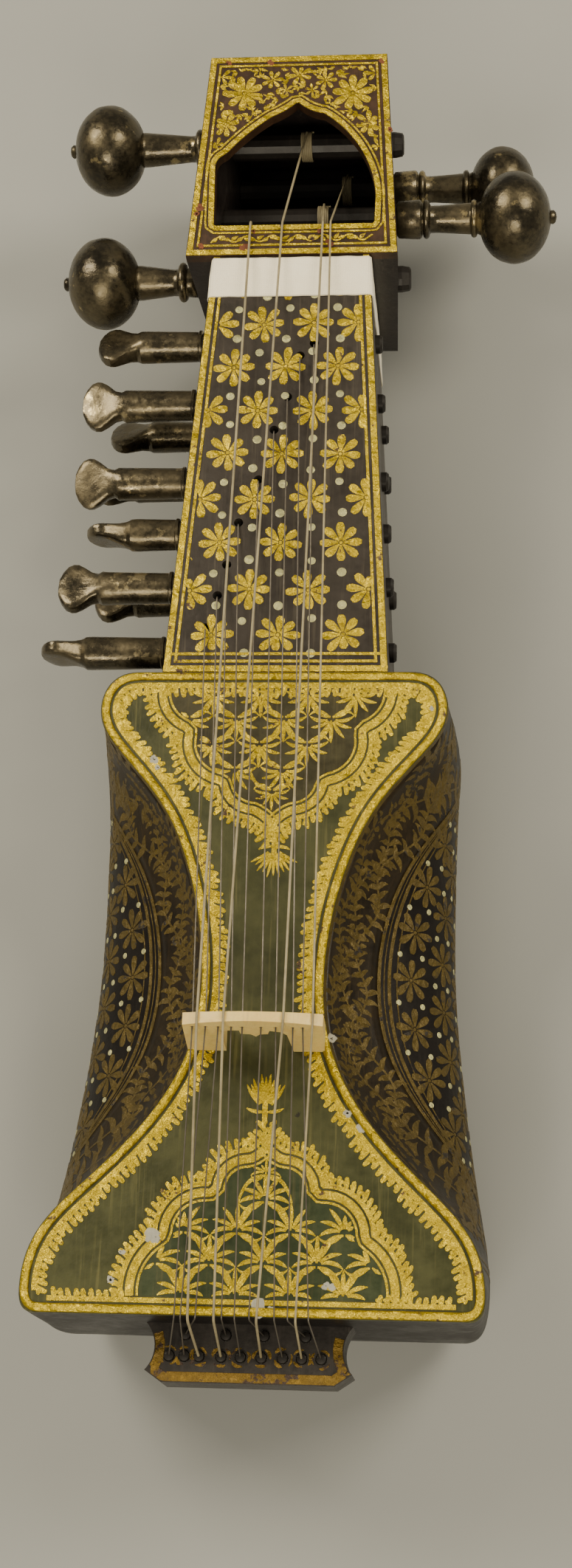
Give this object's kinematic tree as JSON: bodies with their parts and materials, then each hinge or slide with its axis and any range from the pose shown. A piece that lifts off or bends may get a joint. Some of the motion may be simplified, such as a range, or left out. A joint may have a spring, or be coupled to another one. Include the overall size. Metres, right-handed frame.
{
  "type": "sarangi",
  "caption": "Short-necked bowed fiddle with a waisted hollow body, windowed pegbox, ball-headed main pegs, flat-headed side pegs, bridge, gut strings and sympathetic wires.",
  "frame": {"origin": "centre line of the flat back under the waist, on the surface the instrument lies on", "axes": "+Y from the foot to the head, +Z out of the belly, +X to the right of someone facing the belly"},
  "size_m": [0.1713, 0.4445, 0.115],
  "materials": {
    "body_lacquer": "dark brown lacquer over carved wood, gilded with flowers, glossy and worn",
    "belly_lacquer": "dark olive lacquer over stretched skin, streaked, satin",
    "gilding": "gilded gesso moulding, worn to brown",
    "neck_lacquer": "black brown lacquer with gilt flowers, glossy",
    "head_lacquer": "plain black lacquer, satin",
    "head_front": "red brown lacquer with gilt carving, worn",
    "tail_lacquer": "dark lacquered wood with a worn gilt edge",
    "bone": "cream bone, scraped smooth",
    "cloth": "white woven cotton tape",
    "peg_wood": "tarnished bronze sheath, glossy",
    "knob_metal": "dark tarnished bronze, polished in patches",
    "small_peg_metal": "dark tarnished bronze, facets bright on their edges",
    "gut": "pale twisted gut",
    "wire": "fine tarnished steel wire"
  },
  "bodies": {
    "root": {"body_back": "body_lacquer", "body_left": "body_lacquer", "body_right": "body_lacquer", "belly_skin": "belly_lacquer", "belly_rim": "gilding", "neck_shell": "neck_lacquer", "pegbox_shell": "head_lacquer", "pegbox_front": "head_front", "tail_block": "tail_lacquer", "bridge": "bone", "neck_band": "cloth", "main_string_1": "gut", "main_string_2": "gut", "main_string_3": "gut", "main_string_4": "gut", "sympathetic_wire_1": "wire", "sympathetic_wire_2": "wire", "sympathetic_wire_3": "wire", "sympathetic_wire_4": "wire", "sympathetic_wire_5": "wire", "sympathetic_wire_6": "wire", "sympathetic_wire_7": "wire", "sympathetic_wire_8": "wire", "sympathetic_wire_9": "wire"},
    "peg_left_low": {"main_peg_left_low": "peg_wood", "main_knob_left_low": "knob_metal", "main_winding_left_low": "gut"},
    "peg_left_high": {"main_peg_left_high": "peg_wood", "main_knob_left_high": "knob_metal", "main_winding_left_high": "gut"},
    "peg_right_low": {"main_peg_right_low": "peg_wood", "main_knob_right_low": "knob_metal", "main_winding_right_low": "gut"},
    "peg_right_high": {"main_peg_right_high": "peg_wood", "main_knob_right_high": "knob_metal", "main_winding_right_high": "gut"},
    "small_peg_1": {"sympathetic_peg_1": "small_peg_metal"},
    "small_peg_2": {"sympathetic_peg_2": "small_peg_metal"},
    "small_peg_3": {"sympathetic_peg_3": "small_peg_metal"},
    "small_peg_4": {"sympathetic_peg_4": "small_peg_metal"},
    "small_peg_5": {"sympathetic_peg_5": "small_peg_metal"},
    "small_peg_6": {"sympathetic_peg_6": "small_peg_metal"},
    "small_peg_7": {"sympathetic_peg_7": "small_peg_metal"},
    "small_peg_8": {"sympathetic_peg_8": "small_peg_metal"},
    "small_peg_9": {"sympathetic_peg_9": "small_peg_metal"}
  },
  "joints": [
    {"name": "tune_left_low", "type": "hinge", "parent": "root", "child": "peg_left_low", "pos_m": [0, 0.2486, 0.063], "axis": [1, 0, 0], "range_deg": [-180, 60]},
    {"name": "tune_left_high", "type": "hinge", "parent": "root", "child": "peg_left_high", "pos_m": [0, 0.3025, 0.063], "axis": [1, 0, 0], "range_deg": [-180, 60]},
    {"name": "tune_right_low", "type": "hinge", "parent": "root", "child": "peg_right_low", "pos_m": [0, 0.2721, 0.063], "axis": [1, 0, 0], "range_deg": [-180, 60]},
    {"name": "tune_right_high", "type": "hinge", "parent": "root", "child": "peg_right_high", "pos_m": [0, 0.2973, 0.043], "axis": [1, 0, 0], "range_deg": [-180, 60]},
    {"name": "tune_wire_1", "type": "hinge", "parent": "root", "child": "small_peg_1", "pos_m": [0, 0.1078, 0.068], "axis": [1, 0, 0], "range_deg": [-180, 60]},
    {"name": "tune_wire_2", "type": "hinge", "parent": "root", "child": "small_peg_2", "pos_m": [0, 0.1308, 0.068], "axis": [1, 0, 0], "range_deg": [-180, 60]},
    {"name": "tune_wire_3", "type": "hinge", "parent": "root", "child": "small_peg_3", "pos_m": [0, 0.15, 0.068], "axis": [1, 0, 0], "range_deg": [-180, 60]},
    {"name": "tune_wire_4", "type": "hinge", "parent": "root", "child": "small_peg_4", "pos_m": [0, 0.1373, 0.043], "axis": [1, 0, 0], "range_deg": [-180, 60]},
    {"name": "tune_wire_5", "type": "hinge", "parent": "root", "child": "small_peg_5", "pos_m": [0, 0.1689, 0.068], "axis": [1, 0, 0], "range_deg": [-180, 60]},
    {"name": "tune_wire_6", "type": "hinge", "parent": "root", "child": "small_peg_6", "pos_m": [0, 0.1803, 0.043], "axis": [1, 0, 0], "range_deg": [-180, 60]},
    {"name": "tune_wire_7", "type": "hinge", "parent": "root", "child": "small_peg_7", "pos_m": [0, 0.1979, 0.068], "axis": [1, 0, 0], "range_deg": [-180, 60]},
    {"name": "tune_wire_8", "type": "hinge", "parent": "root", "child": "small_peg_8", "pos_m": [0, 0.1994, 0.043], "axis": [1, 0, 0], "range_deg": [-180, 60]},
    {"name": "tune_wire_9", "type": "hinge", "parent": "root", "child": "small_peg_9", "pos_m": [0, 0.2204, 0.068], "axis": [1, 0, 0], "range_deg": [-180, 60]}
  ]
}
